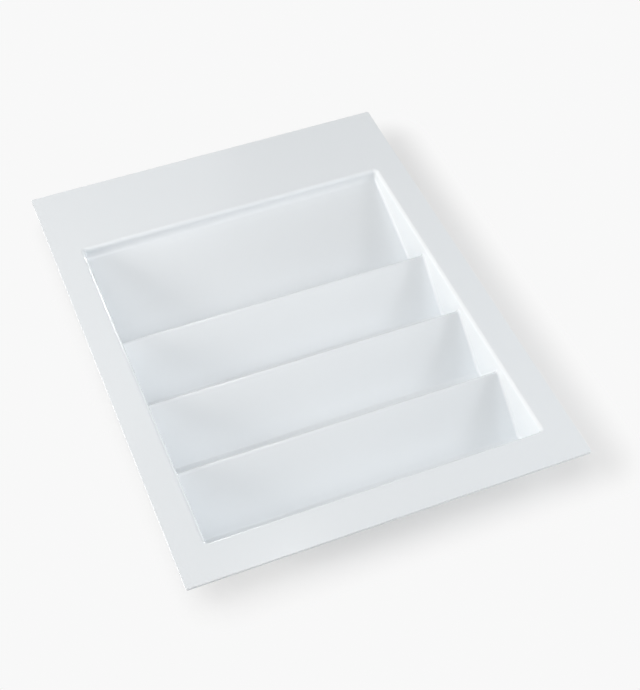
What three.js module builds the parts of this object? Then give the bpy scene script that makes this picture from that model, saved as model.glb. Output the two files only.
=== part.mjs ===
// Spice drawer insert: a tray of white plastic sheet with a wide flat rim that is trimmed to the
// drawer, and a well of four sloping tiers in which jars lie tilted against a square stop.
// Millimetres, +Z up, front towards -Y, origin on the drawer floor under the middle of the rim.
import * as THREE from 'three';

// Driving dimensions
const sheet = 2.4;            // thickness of the plastic sheet
const wellWidth = 317;        // wall to wall, left to right, at the rim
const sideMargin = 30.5;      // rim beside the well, left and right
const frontMargin = 38;       // rim in front of the well
const backMargin = 91;        // rim behind the well
const rimCorner = 2;          // outer corner radius of the rim
const rearTier = 122.5;       // back collar to the first ridge
const tier = 83.5;            // ridge to ridge of the tiers in front of it
const rampAngle = 35;         // slope of those tiers, in degrees
const collar = 9.5;           // rim top to the line where a stop and a ramp would meet
const footLand = 6.5;         // foot of a ramp to the foot of its stop
const innerBend = 0.8;        // bend radius on the hollow side of the lip and the ridges
const wallRadius = 2.5;       // fillet between the side walls and the floor
const valleyRoom = 1;         // how much rounder a valley is than that fillet
const sideDraft = 1.5;        // lean of the side walls, in degrees

// Sampling of the curves
const bendStep = 12;          // degrees of bend per facet
const filletSteps = 5;        // facets across a wall fillet

// Derived sizes
const rad = THREE.MathUtils.degToRad;
const bendRadius = sheet + innerBend;
const valleyRadius = wallRadius + valleyRoom;
const slope = rad(rampAngle);
const tierDrop = (tier - footLand) * Math.sin(slope) * Math.cos(slope);
const rearSlope = 0.5 * Math.asin(2 * tierDrop / (rearTier - footLand));
const rimTop = sheet + tierDrop + collar;
const ridgeTop = rimTop - collar;
const wellLength = rearTier + 3 * tier;
const rimWidth = wellWidth + 2 * sideMargin;
const rimLength = frontMargin + wellLength + backMargin;
const front = -rimLength / 2 + frontMargin;
const back = front + wellLength;
const wallX = wellWidth / 2;
const floorX = wallX - wallRadius;
const seam = rimTop - bendRadius;

// Each part is white plastic with its own material.
const white = () => new THREE.MeshStandardMaterial({ color: 0xe9ecee, roughness: 0.42, metalness: 0 });

// The well narrows with depth: the share of its width at the rim that is left at height z.
const narrowing = (z) => 1 - Math.tan(rad(sideDraft)) * (rimTop - z) / wallX;
function drafted(geometry) {
  const p = geometry.getAttribute('position');
  for (let i = 0; i < p.count; i++) p.setX(i, p.getX(i) * narrowing(p.getZ(i)));
  geometry.computeVertexNormals();
  return geometry;
}

// Corners of the well's upper surface, from the back lip to the front lip, as [y, z, bend radius].
// A stop stands square to its ramp, so the two together span one tier.
function wellCorners() {
  const corners = [[back, seam, 0], [back, ridgeTop, valleyRadius]];
  const valley = (top, angle, length) => {
    const foot = top - tierDrop / Math.tan(angle);
    corners.push([foot, sheet, valleyRadius], [foot - footLand, sheet, valleyRadius]);
    return top - length;
  };
  let ridge = valley(back, rearSlope, rearTier);
  for (let i = 0; i < 3; i++) {
    corners.push([ridge, ridgeTop, bendRadius]);
    ridge = valley(ridge, slope, tier);
  }
  corners.push([front, ridgeTop, valleyRadius], [front, seam, 0]);
  return corners;
}

// Rounds each corner with an arc and returns the samples {y, z, ny, nz}, with the normal pointing
// up out of the sheet, and the first and last sample of every arc.
function roundedPath(corners) {
  const samples = [];
  const arcs = [];
  const unit = (a, b) => {
    const d = new THREE.Vector2(b[0] - a[0], b[1] - a[1]);
    return d.normalize();
  };
  const put = (y, z, d) => samples.push({ y, z, ny: d.y, nz: -d.x });
  corners.forEach((c, i) => {
    if (i === 0) return put(c[0], c[1], unit(c, corners[1]));
    if (i === corners.length - 1) return put(c[0], c[1], unit(corners[i - 1], c));
    const into = unit(corners[i - 1], c);
    const out = unit(c, corners[i + 1]);
    const turn = Math.atan2(into.x * out.y - into.y * out.x, into.dot(out));
    const reach = c[2] * Math.tan(Math.abs(turn) / 2);
    const steps = Math.max(2, Math.ceil(Math.abs(turn) / rad(bendStep)));
    const side = Math.sign(turn);
    const centre = new THREE.Vector2(c[0] - into.x * reach, c[1] - into.y * reach)
      .add(new THREE.Vector2(-into.y, into.x).multiplyScalar(side * c[2]));
    const start = samples.length;
    for (let k = 0; k <= steps; k++) {
      const d = into.clone().rotateAround(new THREE.Vector2(), turn * k / steps);
      put(centre.x + side * c[2] * d.y, centre.y - side * c[2] * d.x, d);
    }
    arcs.push([start, samples.length - 1]);
    return arcs;
  });
  return { samples, arcs };
}

const { samples, arcs } = roundedPath(wellCorners());

// A strip of the floor: the sheet between two samples of the path, from wall fillet to wall fillet.
function strip(first, last) {
  const run = samples.slice(first, last + 1);
  const upper = run.map((s) => new THREE.Vector2(s.y, s.z));
  const lower = run.map((s) => new THREE.Vector2(s.y - sheet * s.ny, s.z - sheet * s.nz)).reverse();
  const outline = new THREE.Shape([...upper, ...lower]);
  const geometry = new THREE.ExtrudeGeometry(outline, { depth: 2 * floorX, bevelEnabled: false, steps: 1 });
  const axes = new THREE.Matrix4().makeBasis(
    new THREE.Vector3(0, 1, 0), new THREE.Vector3(0, 0, 1), new THREE.Vector3(1, 0, 0));
  return drafted(geometry.applyMatrix4(axes).translate(-floorX, 0, 0));
}

function meshOf(positions, triangles) {
  const geometry = new THREE.BufferGeometry();
  geometry.setAttribute('position', new THREE.Float32BufferAttribute(positions, 3));
  geometry.setIndex(triangles);
  geometry.computeVertexNormals();
  return geometry;
}

// A side wall: a ball of the wall radius rolls along the floor path and leaves the fillet; the flat
// cheek above it is bounded by the track of the ball and by the seam under the rim.
function sideWall(side) {
  const rows = filletSteps + 1;
  const positions = [];
  const grid = (radius) => samples.forEach((s) => {
    for (let k = 0; k < rows; k++) {
      const a = Math.PI / 2 * k / filletSteps;
      const up = wallRadius - radius * Math.cos(a);
      positions.push(side * (floorX + radius * Math.sin(a)), s.y + s.ny * up, s.z + s.nz * up);
    }
  });
  grid(wallRadius);
  grid(wallRadius + sheet);
  const inner = (i, k) => i * rows + k;
  const outer = (i, k) => (samples.length + i) * rows + k;
  const triangles = [];
  const tri = (a, b, c) => triangles.push(...(side > 0 ? [a, b, c] : [a, c, b]));
  const quad = (a, b, c, d) => { tri(a, b, c); tri(a, c, d); };
  const end = samples.length - 1;
  for (let i = 0; i < end; i++) {
    for (let k = 0; k < filletSteps; k++) {
      quad(inner(i, k), inner(i + 1, k), inner(i + 1, k + 1), inner(i, k + 1));
      quad(outer(i, k), outer(i, k + 1), outer(i + 1, k + 1), outer(i + 1, k));
    }
    quad(inner(i, 0), outer(i, 0), outer(i + 1, 0), inner(i + 1, 0));
  }
  for (let k = 0; k < filletSteps; k++) {
    quad(inner(0, k), inner(0, k + 1), outer(0, k + 1), outer(0, k));
    quad(inner(end, k), outer(end, k), outer(end, k + 1), inner(end, k + 1));
  }
  quad(inner(0, filletSteps), inner(end, filletSteps), outer(end, filletSteps), outer(0, filletSteps));
  const track = samples.map((s) => new THREE.Vector2(s.y + s.ny * wallRadius, s.z + s.nz * wallRadius));
  THREE.ShapeUtils.triangulateShape(track, []).forEach(([a, b, c]) => {
    const turn = track[b].clone().sub(track[a]).cross(track[c].clone().sub(track[a]));
    const [p, q] = turn < 0 ? [b, c] : [c, b];
    tri(inner(a, filletSteps), inner(p, filletSteps), inner(q, filletSteps));
    tri(outer(a, filletSteps), outer(q, filletSteps), outer(p, filletSteps));
  });
  return drafted(meshOf(positions, triangles));
}

// A ring of points round a rounded rectangle at one height.
function ring(halfWidth, y0, y1, radius, z) {
  const points = [];
  const corner = (cx, cy, from) => {
    for (let k = 0; k <= filletSteps; k++) {
      const a = from + Math.PI / 2 * k / filletSteps;
      points.push([cx + radius * Math.cos(a), cy + radius * Math.sin(a), z]);
    }
  };
  corner(halfWidth - radius, y1 - radius, 0);
  corner(-halfWidth + radius, y1 - radius, Math.PI / 2);
  corner(-halfWidth + radius, y0 + radius, Math.PI);
  corner(halfWidth - radius, y0 + radius, 1.5 * Math.PI);
  return points;
}

// The rim: a flat plate whose inner edge rolls down into the well as a rounded lip. Rings run from
// the outer edge over the top, down the lip to the seam, and back along the underside.
function rim() {
  const outline = (z) => ring(rimWidth / 2, -rimLength / 2, rimLength / 2, rimCorner, z);
  const lip = (radius, a) => {
    const inset = bendRadius - radius * Math.cos(a);
    const z = seam + radius * Math.sin(a);
    return ring(wallX + inset, front - inset, back + inset, wallRadius + inset, z)
      .map(([x, y]) => [x * narrowing(z), y, z]);
  };
  const steps = Math.ceil(90 / bendStep);
  const turns = Array.from({ length: steps + 1 }, (_, k) => Math.PI / 2 * k / steps);
  const rings = [
    outline(rimTop),
    ...turns.slice().reverse().map((a) => lip(bendRadius, a)),
    ...turns.map((a) => lip(innerBend, a)),
    outline(rimTop - sheet),
  ];
  const count = rings[0].length;
  const triangles = [];
  rings.forEach((_, i) => {
    const j = (i + 1) % rings.length;
    for (let k = 0; k < count; k++) {
      const n = (k + 1) % count;
      triangles.push(i * count + k, i * count + n, j * count + n, i * count + k, j * count + n, j * count + k);
    }
  });
  return meshOf(rings.flat(2), triangles);
}

// Arcs in order: back collar foot, then ramp foot, stop foot and ridge for each tier in turn, and
// last the front collar foot. Seams lie at the ends of these arcs.
const begins = (n) => arcs[n][0];
const finishes = (n) => arcs[n][1];
const last = samples.length - 1;

const group = new THREE.Group();
group.name = 'spice_drawer_insert';
const add = (name, geometry) => {
  const mesh = new THREE.Mesh(geometry, white());
  mesh.name = name;
  group.add(mesh);
};
add('rim_flange', rim());
add('left_wall', sideWall(-1));
add('right_wall', sideWall(1));
add('back_wall', strip(0, finishes(0)));
add('rear_ramp', strip(finishes(0), begins(1)));
add('rear_stop', strip(begins(1), begins(3)));
add('first_ridge', strip(begins(3), finishes(3)));
add('second_ramp', strip(finishes(3), begins(4)));
add('second_stop', strip(begins(4), begins(6)));
add('second_ridge', strip(begins(6), finishes(6)));
add('third_ramp', strip(finishes(6), begins(7)));
add('third_stop', strip(begins(7), begins(9)));
add('third_ridge', strip(begins(9), finishes(9)));
add('front_ramp', strip(finishes(9), begins(10)));
add('front_wall', strip(begins(10), last));

export default group;
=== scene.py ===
"""Spice drawer insert: the looks of a tray formed from white plastic sheet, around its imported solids.

Metres, +Z up, front towards -Y, as in the solids. Each panel of the tray is a closed surface with
finer bends than its solid and with the normals that its formula gives, so that neighbouring panels
shade as the one sheet they are.
"""
import math

import bpy
import numpy as np
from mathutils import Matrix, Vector


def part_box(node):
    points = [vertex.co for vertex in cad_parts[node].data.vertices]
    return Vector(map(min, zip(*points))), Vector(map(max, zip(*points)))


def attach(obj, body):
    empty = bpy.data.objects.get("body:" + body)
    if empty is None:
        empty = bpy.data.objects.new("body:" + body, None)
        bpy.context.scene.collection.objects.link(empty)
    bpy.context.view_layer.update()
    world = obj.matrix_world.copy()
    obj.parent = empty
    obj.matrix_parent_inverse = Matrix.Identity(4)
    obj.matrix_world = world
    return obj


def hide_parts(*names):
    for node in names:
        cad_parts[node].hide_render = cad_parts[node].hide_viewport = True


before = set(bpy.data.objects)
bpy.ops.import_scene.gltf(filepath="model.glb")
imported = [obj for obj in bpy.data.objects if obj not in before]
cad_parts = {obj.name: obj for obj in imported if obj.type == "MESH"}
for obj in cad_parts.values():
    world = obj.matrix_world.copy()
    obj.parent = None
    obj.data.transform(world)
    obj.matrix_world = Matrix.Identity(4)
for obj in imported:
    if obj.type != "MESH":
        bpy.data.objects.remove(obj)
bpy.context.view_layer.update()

MM = 0.001

# Sizes of the sheet and the well, with the places of its walls taken from the solids
SHEET = 2.4 * MM
WELL_WIDTH = 317 * MM
REAR_TIER = 122.5 * MM
FOOT_LAND = 6.5 * MM
WALL_RADIUS = 2.5 * MM
VALLEY_RADIUS = 3.5 * MM
COLLAR_RADIUS = 6.5 * MM
LIP_RADIUS = 3.8 * MM
RIDGE_RADIUS = 3.2 * MM
RIM_CORNER = 2.0 * MM
EDGE_ROUND = 0.22 * MM
LOWER_TIERS = 3
RAMP_ANGLE = math.radians(35)
SIDE_DRAFT = math.radians(1.5)

RIM_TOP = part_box("rim_flange")[1].z
RIM_HALF_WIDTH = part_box("rim_flange")[1].x
RIM_HALF_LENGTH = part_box("rim_flange")[1].y
SEAM = RIM_TOP - LIP_RADIUS
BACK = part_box("back_wall")[1].y - SHEET
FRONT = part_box("front_wall")[0].y + SHEET
TIER = (BACK - FRONT - REAR_TIER) / LOWER_TIERS
WALL_X = WELL_WIDTH / 2
FLOOR_X = WALL_X - WALL_RADIUS
TIER_DROP = (TIER - FOOT_LAND) * math.sin(RAMP_ANGLE) * math.cos(RAMP_ANGLE)
REAR_ANGLE = 0.5 * math.asin(2 * TIER_DROP / (REAR_TIER - FOOT_LAND))
RIDGE_TOP = SHEET + TIER_DROP

# How finely the bends are drawn, and how near points and normals are taken as the same
BEND_STEP = math.radians(4)
FEWEST_BEND_STEPS = 3
FILLET_STEPS = 14
LIP_STEPS = 24
EDGE_STEPS = 5
PANEL_STATIONS = 25
SAME_PLACE = 1e-4 * MM
SAME_NORMAL = 0.01

# Material slots of a panel
SKIN_SLOT = 0
EDGE_SLOT = 1

# The camera of the photograph, fitted to the corners of the rim and of the well; angles in degrees
IMAGE_LONG_SIDE = 690
FOCAL_PIXELS = 1448.6
SENSOR = 36.0
VIEW_AZIMUTH = -22.01
VIEW_ELEVATION = 48.77
VIEW_DISTANCE = 1.3633
VIEW_TARGET = Vector((0.01285, -0.0448, RIM_TOP))


def narrowed(points, normals):
    """The draft of the well: x shrinks in proportion to the depth below the rim, x' = x k with
    k = 1 - tan(draft) (rim - z) / wall. Normals go through the inverse transpose of that map."""
    slope = math.tan(SIDE_DRAFT) / WALL_X
    share = 1 - slope * (RIM_TOP - points[..., 2])
    moved = points.copy()
    moved[..., 0] = points[..., 0] * share
    turned = normals.copy()
    turned[..., 0] = normals[..., 0] / share
    turned[..., 2] = normals[..., 2] - points[..., 0] * slope / share * normals[..., 0]
    return moved, turned / np.linalg.norm(turned, axis=-1, keepdims=True)


def mark_sharp_edges(mesh, corners, normals):
    """An edge is sharp where its two faces give different normals at its ends. Each side of a face
    is keyed by its two vertices, the lower number first, and sides with the same key are compared."""
    ends = np.stack([corners, np.roll(corners, -1, axis=1)], axis=-1).reshape(-1, 2)
    given = np.stack([normals, np.roll(normals, -1, axis=1)], axis=2).reshape(-1, 2, 3)
    turned = ends[:, 0] > ends[:, 1]
    ends[turned] = ends[turned, ::-1]
    given[turned] = given[turned, ::-1]
    keys = ends[:, 0] * len(mesh.vertices) + ends[:, 1]
    order = np.argsort(keys, kind="stable")
    keys, given = keys[order], given[order]
    differs = np.abs(given[1:] - given[:-1]).max(axis=(1, 2)) > SAME_NORMAL
    sharp = keys[1:][(keys[1:] == keys[:-1]) & differs]
    edges = np.empty(2 * len(mesh.edges), dtype=np.int32)
    mesh.edges.foreach_get("vertices", edges)
    edges = np.sort(edges.reshape(-1, 2).astype(np.int64), axis=1)
    edge_keys = edges[:, 0] * len(mesh.vertices) + edges[:, 1]
    mesh.edges.foreach_set("use_edge_sharp", np.isin(edge_keys, sharp))


def shell(name, patches, slots=(SKIN_SLOT,)):
    """Joins grids of points into one mesh. Points that coincide to a ten-thousandth of a
    millimetre become one vertex, each face winds the way its normals point, and every face corner
    keeps the normal that its own formula gives. slots names each grid's material slot in turn."""
    points = np.concatenate([p.reshape(-1, 3) for p, _ in patches])
    normals = np.concatenate([n.reshape(-1, 3) for _, n in patches])
    faces, face_slots, start = [], [], 0
    for k, (p, _) in enumerate(patches):
        rows, columns = p.shape[:2]
        i = start + np.arange(rows * columns).reshape(rows, columns)
        quads = np.stack([i[:-1, :-1], i[1:, :-1], i[1:, 1:], i[:-1, 1:]], axis=-1)
        faces.append(quads.reshape(-1, 4))
        face_slots.append(np.full(len(faces[-1]), slots[k % len(slots)]))
        start += rows * columns
    faces = np.concatenate(faces)
    face_slots = np.concatenate(face_slots)
    across = points[faces[:, 2]] - points[faces[:, 0]]
    facing = np.cross(across, points[faces[:, 3]] - points[faces[:, 1]])
    inward = np.einsum("ij,ij->i", facing, normals[faces].sum(axis=1)) < 0
    faces = np.where(inward[:, None], faces[:, ::-1], faces)
    grid = np.round(points / SAME_PLACE).astype(np.int64)
    _, first, same = np.unique(grid, axis=0, return_index=True, return_inverse=True)
    corners = same.reshape(-1)[faces]
    mesh = bpy.data.meshes.new(name)
    mesh.from_pydata(points[first].tolist(), [], corners.tolist())
    mesh.polygons.foreach_set("material_index", face_slots.astype(np.int32))
    mesh.polygons.foreach_set("use_smooth", np.ones(len(faces), dtype=bool))
    mark_sharp_edges(mesh, corners, normals[faces])
    mesh.normals_split_custom_set(normals[faces].reshape(-1, 3).tolist())
    piece = bpy.data.objects.new(name, mesh)
    bpy.context.scene.collection.objects.link(piece)
    return piece


def well_corners():
    """Corners (y, z, bend radius) of the well's upper surface from the back lip to the front lip.
    A ramp falls by the tier's drop at its own angle, a flat land follows, and the stop rises square
    to the ramp, so that drop / tan + land + drop * tan is the length of the tier."""
    corners = [(BACK, SEAM, 0), (BACK, RIDGE_TOP, COLLAR_RADIUS)]
    ridge = BACK
    for length, angle in ((REAR_TIER, REAR_ANGLE),) + ((TIER, RAMP_ANGLE),) * LOWER_TIERS:
        foot = ridge - TIER_DROP / math.tan(angle)
        corners += [(foot, SHEET, VALLEY_RADIUS), (foot - FOOT_LAND, SHEET, VALLEY_RADIUS)]
        ridge -= length
        corners.append((ridge, RIDGE_TOP, RIDGE_RADIUS))
    corners[-1] = (FRONT, RIDGE_TOP, VALLEY_RADIUS)
    return np.array(corners + [(FRONT, SEAM, 0)])


def rounded_section(corners):
    """Each corner becomes an arc that is tangent to both of its sides: the arc's centre lies one
    radius to the inner side of the tangent point, which is radius * tan(turn / 2) before the corner,
    and the arc's points are centre + radius * (turned normal). Returns the points, their upward
    normals, and the first and last point of every arc."""
    sides = np.diff(corners[:, :2], axis=0)
    sides /= np.linalg.norm(sides, axis=1, keepdims=True)
    points, normals, arcs = [corners[:1, :2]], [np.array([[sides[0, 1], -sides[0, 0]]])], []
    count = 1
    for into, out, corner in zip(sides[:-1], sides[1:], corners[1:-1]):
        turn = math.atan2(into[0] * out[1] - into[1] * out[0], into @ out)
        side = math.copysign(1, turn)
        steps = max(FEWEST_BEND_STEPS, math.ceil(abs(turn) / BEND_STEP))
        angle = np.linspace(0, turn, steps + 1)[:, None]
        left = np.array([-into[1], into[0]])
        centre = corner[:2] - into * corner[2] * math.tan(abs(turn) / 2) + left * side * corner[2]
        normal = -left * np.cos(angle) + into * np.sin(angle)
        points.append(centre + side * corner[2] * normal)
        normals.append(normal)
        arcs.append((count, count + steps))
        count += steps + 1
    points.append(corners[-1:, :2])
    normals.append(np.array([[sides[-1, 1], -sides[-1, 0]]]))
    return np.concatenate(points), np.concatenate(normals), arcs


SECTION, SECTION_NORMALS, ARCS = rounded_section(well_corners())


def along_x(profile, normal, stations):
    """Carries a profile in the YZ plane along X: one row of points for every station."""
    x = np.broadcast_to(stations[:, None, None], (len(stations), len(profile), 1))
    yz = np.broadcast_to(profile, (len(stations),) + profile.shape)
    flat = np.broadcast_to(normal, (len(stations),) + normal.shape)
    return np.concatenate([x, yz], axis=-1), np.concatenate([np.zeros_like(x), flat], axis=-1)


def folded_panel(name, first, last):
    """A strip of the floor: the section's upper line and the line one sheet below it, along their
    common normal, carried from the left fillet to the right one, with its cut ends closed."""
    upper, normal = SECTION[first:last + 1], SECTION_NORMALS[first:last + 1]
    lower = upper - SHEET * normal
    stations = np.linspace(-FLOOR_X, FLOOR_X, PANEL_STATIONS)
    tangent = np.stack([-normal[:, 1], normal[:, 0]], axis=-1)
    patches = [along_x(upper, normal, stations), along_x(lower, -normal, stations)]
    for end, sign in ((0, -1), (-1, 1)):
        edge = np.stack([upper[end], lower[end]])
        patches.append(along_x(edge, np.repeat(sign * tangent[end][None], 2, axis=0), stations))
    for side in (-1, 1):
        face = np.stack([upper, lower], axis=1)
        points = np.concatenate([np.full(face.shape[:2] + (1,), side * FLOOR_X), face], axis=-1)
        outward = np.zeros_like(points)
        outward[..., 0] = side
        patches.append((points, outward))
    return shell(name, [narrowed(*patch) for patch in patches])


def side_wall(name, side):
    """A cheek of the well. A ball of the fillet's radius rolls along the section: at angle a across
    the fillet the inner skin is section + normal * r (1 - cos a) at x = floor + r sin a, and the
    outer skin has radius r + sheet about the same centre. Above the ball's track the cheek is flat
    up to the seam under the lip."""
    angle = np.linspace(0, math.pi / 2, FILLET_STEPS + 1)

    def fillet(radius, sign):
        rise = WALL_RADIUS - radius * np.cos(angle)
        yz = SECTION[:, None] + SECTION_NORMALS[:, None] * rise[None, :, None]
        x = np.broadcast_to(side * (FLOOR_X + radius * np.sin(angle)), yz.shape[:2])
        lean = np.broadcast_to(-side * np.sin(angle), yz.shape[:2])
        up = SECTION_NORMALS[:, None] * np.cos(angle)[None, :, None]
        points = np.concatenate([x[..., None], yz], axis=-1)
        return points, sign * np.concatenate([lean[..., None], up], axis=-1)

    def facing(points, x, y, z):
        return points, np.broadcast_to(np.array([x, y, z], float), points.shape).copy()

    inner, inner_normal = fillet(WALL_RADIUS, 1)
    outer, outer_normal = fillet(WALL_RADIUS + SHEET, -1)

    def cheek(skin):
        low = skin[1:-1, -1]
        high = low.copy()
        high[:, 2] = SEAM
        return np.stack([low, high], axis=1)

    inner_cheek, outer_cheek = cheek(inner), cheek(outer)
    patches = [
        (inner, inner_normal),
        (outer, outer_normal),
        facing(inner_cheek, -side, 0, 0),
        facing(outer_cheek, side, 0, 0),
        facing(np.stack([inner_cheek[:, 1], outer_cheek[:, 1]], axis=1), 0, 0, 1),
        facing(np.stack([inner[:, 0], outer[:, 0]], axis=1), -side, 0, 0),
        facing(np.stack([inner[0], outer[0]], axis=1), 0, 0, 1),
        facing(np.stack([inner[-1], outer[-1]], axis=1), 0, 0, 1),
    ]
    return shell(name, [narrowed(*patch) for patch in patches])


def plan_ring(half_width, low, high, radius):
    """Points round a rounded rectangle in plan, corner by corner, with their outward normals; the
    first point comes again at the end so that the ring closes."""
    angle = np.linspace(0, math.pi / 2, FILLET_STEPS + 1)
    turns = np.concatenate([angle + k * math.pi / 2 for k in range(4)])
    out = np.stack([np.cos(turns), np.sin(turns)], axis=-1)
    x = np.array([1, -1, -1, 1]) * (half_width - radius)
    y = np.array([high - radius, high - radius, low + radius, low + radius])
    centres = np.repeat(np.stack([x, y], axis=-1), FILLET_STEPS + 1, axis=0)
    points = centres + radius * out
    return np.concatenate([points, points[:1]]), np.concatenate([out, out[:1]])


def ring_stack(rings):
    """A surface through rings in plan. Each ring is (points, plan normals, height, share of the plan
    normal, share of up) and its normal is plan * share + up * share."""
    points, normals = [], []
    for plan, out, z, sideways, up in rings:
        height = np.full((len(plan), 1), z)
        points.append(np.concatenate([plan, height], axis=-1))
        normals.append(np.concatenate([out * sideways, np.full((len(plan), 1), up)], axis=-1))
    return np.stack(points), np.stack(normals)


def rim(name):
    """The flat rim and its lip. The lip is a quarter turn about the line one bend radius outside the
    well's wall and below the rim: outer skin radius = bend, inner skin radius = bend - sheet. The
    trimmed outer edge is rounded by a small quarter turn above and below."""
    turn = np.linspace(0, math.pi / 2, LIP_STEPS + 1)

    def outline(inset, z, sideways, up):
        ring = plan_ring(RIM_HALF_WIDTH - inset, -RIM_HALF_LENGTH + inset, RIM_HALF_LENGTH - inset,
                         RIM_CORNER - inset)
        return ring + (z, sideways, up)

    def lip(radius, a, sign):
        inset = LIP_RADIUS - radius * math.cos(a)
        ring = plan_ring(WALL_X + inset, FRONT - inset, BACK + inset, WALL_RADIUS + inset)
        return ring + (SEAM + radius * math.sin(a), -sign * math.cos(a), sign * math.sin(a))

    quarter = np.linspace(0, math.pi / 2, EDGE_STEPS + 1)
    underside = RIM_TOP - SHEET
    upper_edge = [outline(EDGE_ROUND * (1 - math.cos(a)), RIM_TOP - EDGE_ROUND * (1 - math.sin(a)),
                          math.cos(a), math.sin(a)) for a in quarter]
    lower_edge = [outline(EDGE_ROUND * (1 - math.cos(a)), underside + EDGE_ROUND * (1 - math.sin(a)),
                          math.cos(a), -math.sin(a)) for a in quarter]
    inner_bend = LIP_RADIUS - SHEET
    top = ring_stack([outline(EDGE_ROUND, RIM_TOP, 0, 1), lip(LIP_RADIUS, math.pi / 2, 1)])
    skin = narrowed(*ring_stack([lip(LIP_RADIUS, a, 1) for a in turn]))
    hollow = narrowed(*ring_stack([lip(inner_bend, a, -1) for a in turn]))
    below, down_below = ring_stack([outline(EDGE_ROUND, underside, 0, -1)] * 2)
    below[1] = hollow[0][-1]
    seam, _ = ring_stack([lip(LIP_RADIUS, 0, 1), lip(inner_bend, 0, -1)])
    down = np.zeros_like(seam)
    down[..., 2] = -1
    edge = ring_stack([lower_edge[0], upper_edge[0]])
    patches = [top, (below, down_below), skin, hollow, narrowed(seam, down), edge,
               ring_stack(upper_edge), ring_stack(lower_edge)]
    return shell(name, patches, slots=(SKIN_SLOT,) * 5 + (EDGE_SLOT,) * 3)


class Value:
    """A node's output socket. Arithmetic on it adds Math nodes to the same tree."""

    def __init__(self, nodes, socket):
        self.nodes = nodes
        self.socket = socket

    def _math(self, operation, first, second):
        return self.nodes.node("ShaderNodeMath", {"operation": operation}, {0: first, 1: second})

    def __add__(self, other):
        return self._math("ADD", self, other)

    __radd__ = __add__

    def __mul__(self, other):
        return self._math("MULTIPLY", self, other)

    __rmul__ = __mul__


class Nodes:
    """The node tree of a material or a world. node() adds a node: its settings are set first, then
    each socket takes a value or a link, and the chosen output comes back as a Value. Sockets go by
    their names, or by their numbers on nodes that use one name twice."""

    def __init__(self, owner):
        owner.use_nodes = True
        self.tree = owner.node_tree
        self.tree.nodes.clear()

    def node(self, kind, settings=None, sockets=None, output=0):
        made = self.tree.nodes.new(kind)
        for key, setting in (settings or {}).items():
            setattr(made, key, setting)
        for key, value in (sockets or {}).items():
            if isinstance(value, Value):
                self.tree.links.new(value.socket, made.inputs[key])
            else:
                made.inputs[key].default_value = value
        return Value(self, made.outputs[output]) if len(made.outputs) else made

    def noise(self, scale, detail=2.0, roughness=0.5, stretch=(1, 1, 1)):
        """Noise between 0 and 1 over the piece's own place, at so many cells to the metre."""
        place = self.node("ShaderNodeTexCoord", output="Object")
        place = self.node("ShaderNodeMapping", {}, {"Vector": place, "Scale": stretch})
        return self.node("ShaderNodeTexNoise", {}, {"Vector": place, "Scale": scale,
                                                    "Detail": detail, "Roughness": roughness})

    def bump(self, height, strength, distance):
        """The surface normal, tilted by a pattern of heights."""
        sockets = {"Strength": strength, "Distance": distance, "Height": height}
        return self.node("ShaderNodeBump", {}, sockets)

    def vector(self, operation, first, second=(0, 0, 0), output=0):
        """Vector arithmetic."""
        return self.node("ShaderNodeVectorMath", {"operation": operation}, {0: first, 1: second}, output)

    def mix(self, share, first, second):
        """A colour between two colours. On a Mix node these are sockets 6 and 7, and output 2."""
        settings = {"data_type": "RGBA", "blend_type": "MIX"}
        return self.node("ShaderNodeMix", settings, {0: share, 6: first, 7: second}, output=2)

    def seen(self):
        """1 for what the camera sees, directly or in a reflection, and 0 for what lights the tray."""
        camera = self.node("ShaderNodeLightPath", output="Is Camera Ray")
        glossy = self.node("ShaderNodeLightPath", output="Is Glossy Ray")
        through = self.node("ShaderNodeLightPath", output="Is Transmission Ray")
        return camera + glossy + through

    def surface(self, sockets):
        """Ends the tree with one Principled surface."""
        shade = self.node("ShaderNodeBsdfPrincipled", {}, sockets)
        self.node("ShaderNodeOutputMaterial", {}, {"Surface": shade})


WHITE = (0.792, 0.826, 0.852, 1)
WHITE_THIN = (0.780, 0.817, 0.846, 1)
# Cut edge: darker than the skin, partly its matte core and partly painted shade on the lit rim edges
EDGE_WHITE_PAINTED_SHADE = (0.700, 0.730, 0.752, 1)
EDGE_SCORE_PAINTED_SHADE = (0.630, 0.660, 0.684, 1)
TENT_WHITE = (0.939, 0.939, 0.939, 1)
FLOOR_WHITE = (0.940, 0.940, 0.940, 1)
FLOOR_PALE = (0.78, 0.78, 0.78, 1)

# The skin: cells to the metre of each pattern, their parts in the relief, and the gloss
SHEET_IOR = 1.57
DRIFT_CELLS = 9
PEBBLE_CELLS = 1400
RIPPLE_CELLS = 26
PEBBLE_RELIEF = 0.10
RIPPLE_RELIEF = 0.9
SKIN_RELIEF = 0.12
SKIN_DEPTH = 1.2 * MM
SKIN_ROUGHNESS = 0.11
PEBBLE_ROUGHNESS = 0.05

# The cut edge: its scores are drawn out along the cut
SCORE_CELLS = 300
SCORE_STRETCH = (0.15, 0.15, 14)
SCORE_RELIEF = 0.25
SCORE_DEPTH = 0.4 * MM
EDGE_ROUGHNESS = 0.55
SCORE_ROUGHNESS = 0.2

# The floor lies a hair below the tray's feet, so that the two don't share a plane
FLOOR_HALF = 12.0
FLOOR_DROP = 0.3 * MM

# The shadow on the floor is partly painted: a soft-edged patch under the tray, a little to its right
OWN_WHITE_NEAR = 0.42
OWN_WHITE_FAR = 1.0
SHADOW_CENTRE = (31 * MM, 7 * MM, 0)
SHADOW_HALF = (RIM_HALF_WIDTH - 6 * MM, RIM_HALF_LENGTH - 14 * MM, 1)
SHADOW_FADE = 47 * MM

LAMP_DISTANCE = 1.5
TENT_STRENGTH = 0.03
PLAIN_LIGHT = (1.0, 1.0, 1.0)
WARM_LIGHT = (1.0, 0.955, 0.91)
LAMP_CENTRE = Vector((0, -20 * MM, 30 * MM))


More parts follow.
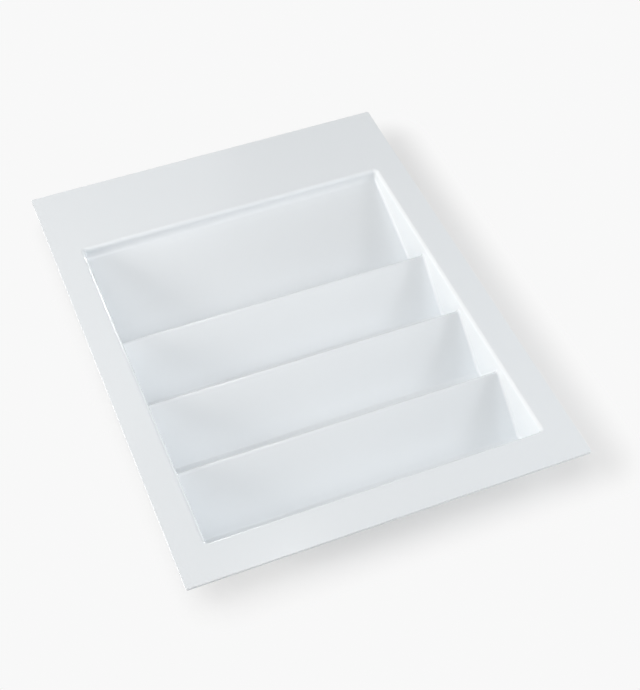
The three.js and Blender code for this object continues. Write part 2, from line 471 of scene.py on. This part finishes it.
def formed_sheet():
    """White sheet after forming: a satin skin with a fine pebble from the roller, broad soft ripples
    where it cooled on the mould, and a slight drift of shade."""
    material = bpy.data.materials.new("formed_white_sheet")
    nodes = Nodes(material)
    drift = nodes.noise(DRIFT_CELLS)
    pebble = nodes.noise(PEBBLE_CELLS, roughness=0.55)
    ripple = nodes.noise(RIPPLE_CELLS, detail=1.5, roughness=0.4)
    relief = pebble * PEBBLE_RELIEF + ripple * RIPPLE_RELIEF
    bump = nodes.bump(relief, SKIN_RELIEF, SKIN_DEPTH)
    nodes.surface({
        "Base Color": nodes.mix(drift, WHITE, WHITE_THIN),
        "Roughness": SKIN_ROUGHNESS + pebble * PEBBLE_ROUGHNESS,
        "IOR": SHEET_IOR,
        "Normal": bump,
    })
    return material


def trimmed_edge():
    """The knife-cut edge of the sheet: duller than the skin and darker, partly as painted shade, with
    fine lines along the cut.
    """
    material = bpy.data.materials.new("trimmed_white_edge")
    nodes = Nodes(material)
    score = nodes.noise(SCORE_CELLS, detail=3, roughness=0.6, stretch=SCORE_STRETCH)
    bump = nodes.bump(score, SCORE_RELIEF, SCORE_DEPTH)
    nodes.surface({
        "Base Color": nodes.mix(score, EDGE_WHITE_PAINTED_SHADE, EDGE_SCORE_PAINTED_SHADE),
        "Roughness": EDGE_ROUGHNESS + score * SCORE_ROUGHNESS,
        "IOR": SHEET_IOR,
        "Normal": bump,
    })
    return material


def studio_floor():
    """A pale seamless floor, wide enough to fill every view. Away from the tray its white is all
    its own, so that it stays even. Near the tray it takes the lamps' light and shadows, and its lit
    part, darker than its own white, paints a soft patch of shade there. The share grows smoothly
    with the distance to a rectangle: the length of max(|place - centre| - half, 0)."""
    side = np.linspace(-FLOOR_HALF, FLOOR_HALF, 3)
    x, y = np.meshgrid(side, side, indexing="ij")
    points = np.stack([x, y, np.full_like(x, -FLOOR_DROP)], axis=-1)
    up = np.zeros_like(points)
    up[..., 2] = 1
    floor = shell("studio_floor", [(points, up)])
    material = bpy.data.materials.new("pale_floor")
    nodes = Nodes(material)
    place = nodes.node("ShaderNodeTexCoord", output="Object")
    place = nodes.vector("SUBTRACT", place, SHADOW_CENTRE)
    place = nodes.vector("ABSOLUTE", place)
    place = nodes.vector("SUBTRACT", place, SHADOW_HALF)
    place = nodes.vector("MAXIMUM", place, (0, 0, 0))
    away = nodes.vector("LENGTH", place, output="Value")
    share = nodes.node("ShaderNodeMapRange", {"interpolation_type": "SMOOTHSTEP"},
                       {"Value": away, "From Min": 0.0, "From Max": SHADOW_FADE,
                        "To Min": OWN_WHITE_NEAR, "To Max": OWN_WHITE_FAR})
    # Near the tray the lit floor, darker than its own white, shows as painted shade
    lit = nodes.node("ShaderNodeBsdfDiffuse", {}, {"Color": FLOOR_PALE})
    own = nodes.node("ShaderNodeEmission", {}, {"Color": FLOOR_WHITE, "Strength": 1.0})
    mixed = nodes.node("ShaderNodeMixShader", {}, {0: nodes.seen() * share, 1: lit, 2: own})
    nodes.node("ShaderNodeOutputMaterial", {}, {"Surface": mixed})
    floor.data.materials.append(material)


def direction(azimuth, elevation):
    """The way from the tray to a place at azimuth a and elevation e in degrees, where azimuth 0 is the
    front, 90 the right and 180 the back: (sin a cos e, -cos a cos e, sin e)."""
    a, e = math.radians(azimuth), math.radians(elevation)
    return Vector((math.sin(a) * math.cos(e), -math.cos(a) * math.cos(e), math.sin(e)))


def soft_lamp(name, azimuth, elevation, strength, spread, colour=PLAIN_LIGHT, mirrored=True):
    """A round lamp that faces the tray. Strength is its light on a surface that faces it at the tray,
    and spread is the angle in degrees that its disc fills as seen from there. A lamp that isn't
    mirrored lights the tray without showing as a gleam on it."""
    lamp = bpy.data.lights.new(name, "AREA")
    lamp.shape = "DISK"
    lamp.color = colour
    lamp.size = 2 * LAMP_DISTANCE * math.tan(math.radians(spread) / 2)
    lamp.energy = strength * math.pi * LAMP_DISTANCE ** 2
    towards = direction(azimuth, elevation)
    holder = bpy.data.objects.new(name, lamp)
    holder.location = LAMP_CENTRE + towards * LAMP_DISTANCE
    holder.rotation_euler = towards.to_track_quat("Z", "Y").to_euler()
    holder.visible_camera = False
    holder.visible_glossy = mirrored
    bpy.context.scene.collection.objects.link(holder)


def studio_light():
    """A white tent: faint light from all round and soft lamps through its sides and roof."""
    world = bpy.data.worlds.new("studio")
    nodes = Nodes(world)
    faint = nodes.node("ShaderNodeBackground", {}, {"Color": TENT_WHITE, "Strength": TENT_STRENGTH})
    white = nodes.node("ShaderNodeBackground", {}, {"Color": TENT_WHITE, "Strength": 1.0})
    mixed = nodes.node("ShaderNodeMixShader", {}, {0: nodes.seen(), 1: faint, 2: white})
    nodes.node("ShaderNodeOutputWorld", {}, {"Surface": mixed})
    bpy.context.scene.world = world
    soft_lamp("left_low", -90, 5, 4.75, 40, WARM_LIGHT, mirrored=False)
    soft_lamp("left_high", -45, 52, 0.19, 30)
    soft_lamp("back_left", -115, 46, 0.50, 30)
    soft_lamp("back", -165, 32, 0.32, 50)
    soft_lamp("right_low", 75, 5, 1.44, 30, mirrored=False)
    soft_lamp("right_wide", 58, 34, 0.475, 30, mirrored=False)
    soft_lamp("right_small", 60, 26, 0.50, 15, mirrored=False)
    soft_lamp("front_low", 12, 5, 0.25, 30, mirrored=False)
    soft_lamp("front_edge", 12, 0, 0.32, 2.4, mirrored=False)
    soft_lamp("front_high", 20, 40, 0.13, 40, mirrored=False)
    soft_lamp("roof", 0, 90, 0.19, 30)
    soft_lamp("roof_wide", 0, 70, 0.38, 50)
    soft_lamp("roof_front", -20, 70, 0.32, 24)
    soft_lamp("back_high_small", 159, 70, 0.10, 4)
    soft_lamp("back_small", 175, 22, 0.11, 8)
    soft_lamp("back_right_small", 143, 18, 0.42, 6)


def photo_camera():
    """The photograph's camera: it stands in the fitted direction and looks at the fitted target."""
    lens = bpy.data.cameras.new("photo_camera")
    lens.sensor_width = SENSOR
    lens.lens = SENSOR * FOCAL_PIXELS / IMAGE_LONG_SIDE
    back = direction(VIEW_AZIMUTH, VIEW_ELEVATION)
    camera = bpy.data.objects.new("photo_camera", lens)
    camera.location = VIEW_TARGET + back * VIEW_DISTANCE
    camera.rotation_euler = (-back).to_track_quat("-Z", "Y").to_euler()
    bpy.context.scene.collection.objects.link(camera)
    bpy.context.scene.camera = camera


sheet_finish, edge_finish = formed_sheet(), trimmed_edge()


def finished(piece, *nodes):
    """Gives a panel its finish and lets it stand for its solids."""
    piece.data.materials.append(sheet_finish)
    piece.data.materials.append(edge_finish)
    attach(piece, "root")
    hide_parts(*nodes)


def tray():
    """The rim, the cheeks and the panels between them. The section is cut into panels where the
    collar's bend ends and where each foot and each ridge begins."""
    finished(rim("rim_and_lip"), "rim_flange")
    finished(side_wall("left_cheek", -1), "left_wall")
    finished(side_wall("right_cheek", 1), "right_wall")
    # After the collar's bend each tier has two arcs at its foot and one at its ridge or front collar
    starts = [start for start, _ in ARCS]
    feet, ridges = starts[1::3], starts[3:-1:3]
    seams = [0, ARCS[0][1]] + sorted(feet + ridges) + [len(SECTION) - 1]
    panels = [("back_collar", "back_wall"), ("rear_slope", "rear_ramp"), ("rear_rise", "rear_stop"),
              ("second_slope", "first_ridge", "second_ramp"), ("second_rise", "second_stop"),
              ("third_slope", "second_ridge", "third_ramp"), ("third_rise", "third_stop"),
              ("front_slope", "third_ridge", "front_ramp"), ("front_rise", "front_wall")]
    for (name, *nodes), first, end in zip(panels, seams[:-1], seams[1:]):
        finished(folded_panel(name, first, end), *nodes)


photo_camera()
tray()
studio_floor()
studio_light()
bpy.context.scene.view_settings.view_transform = "Standard"
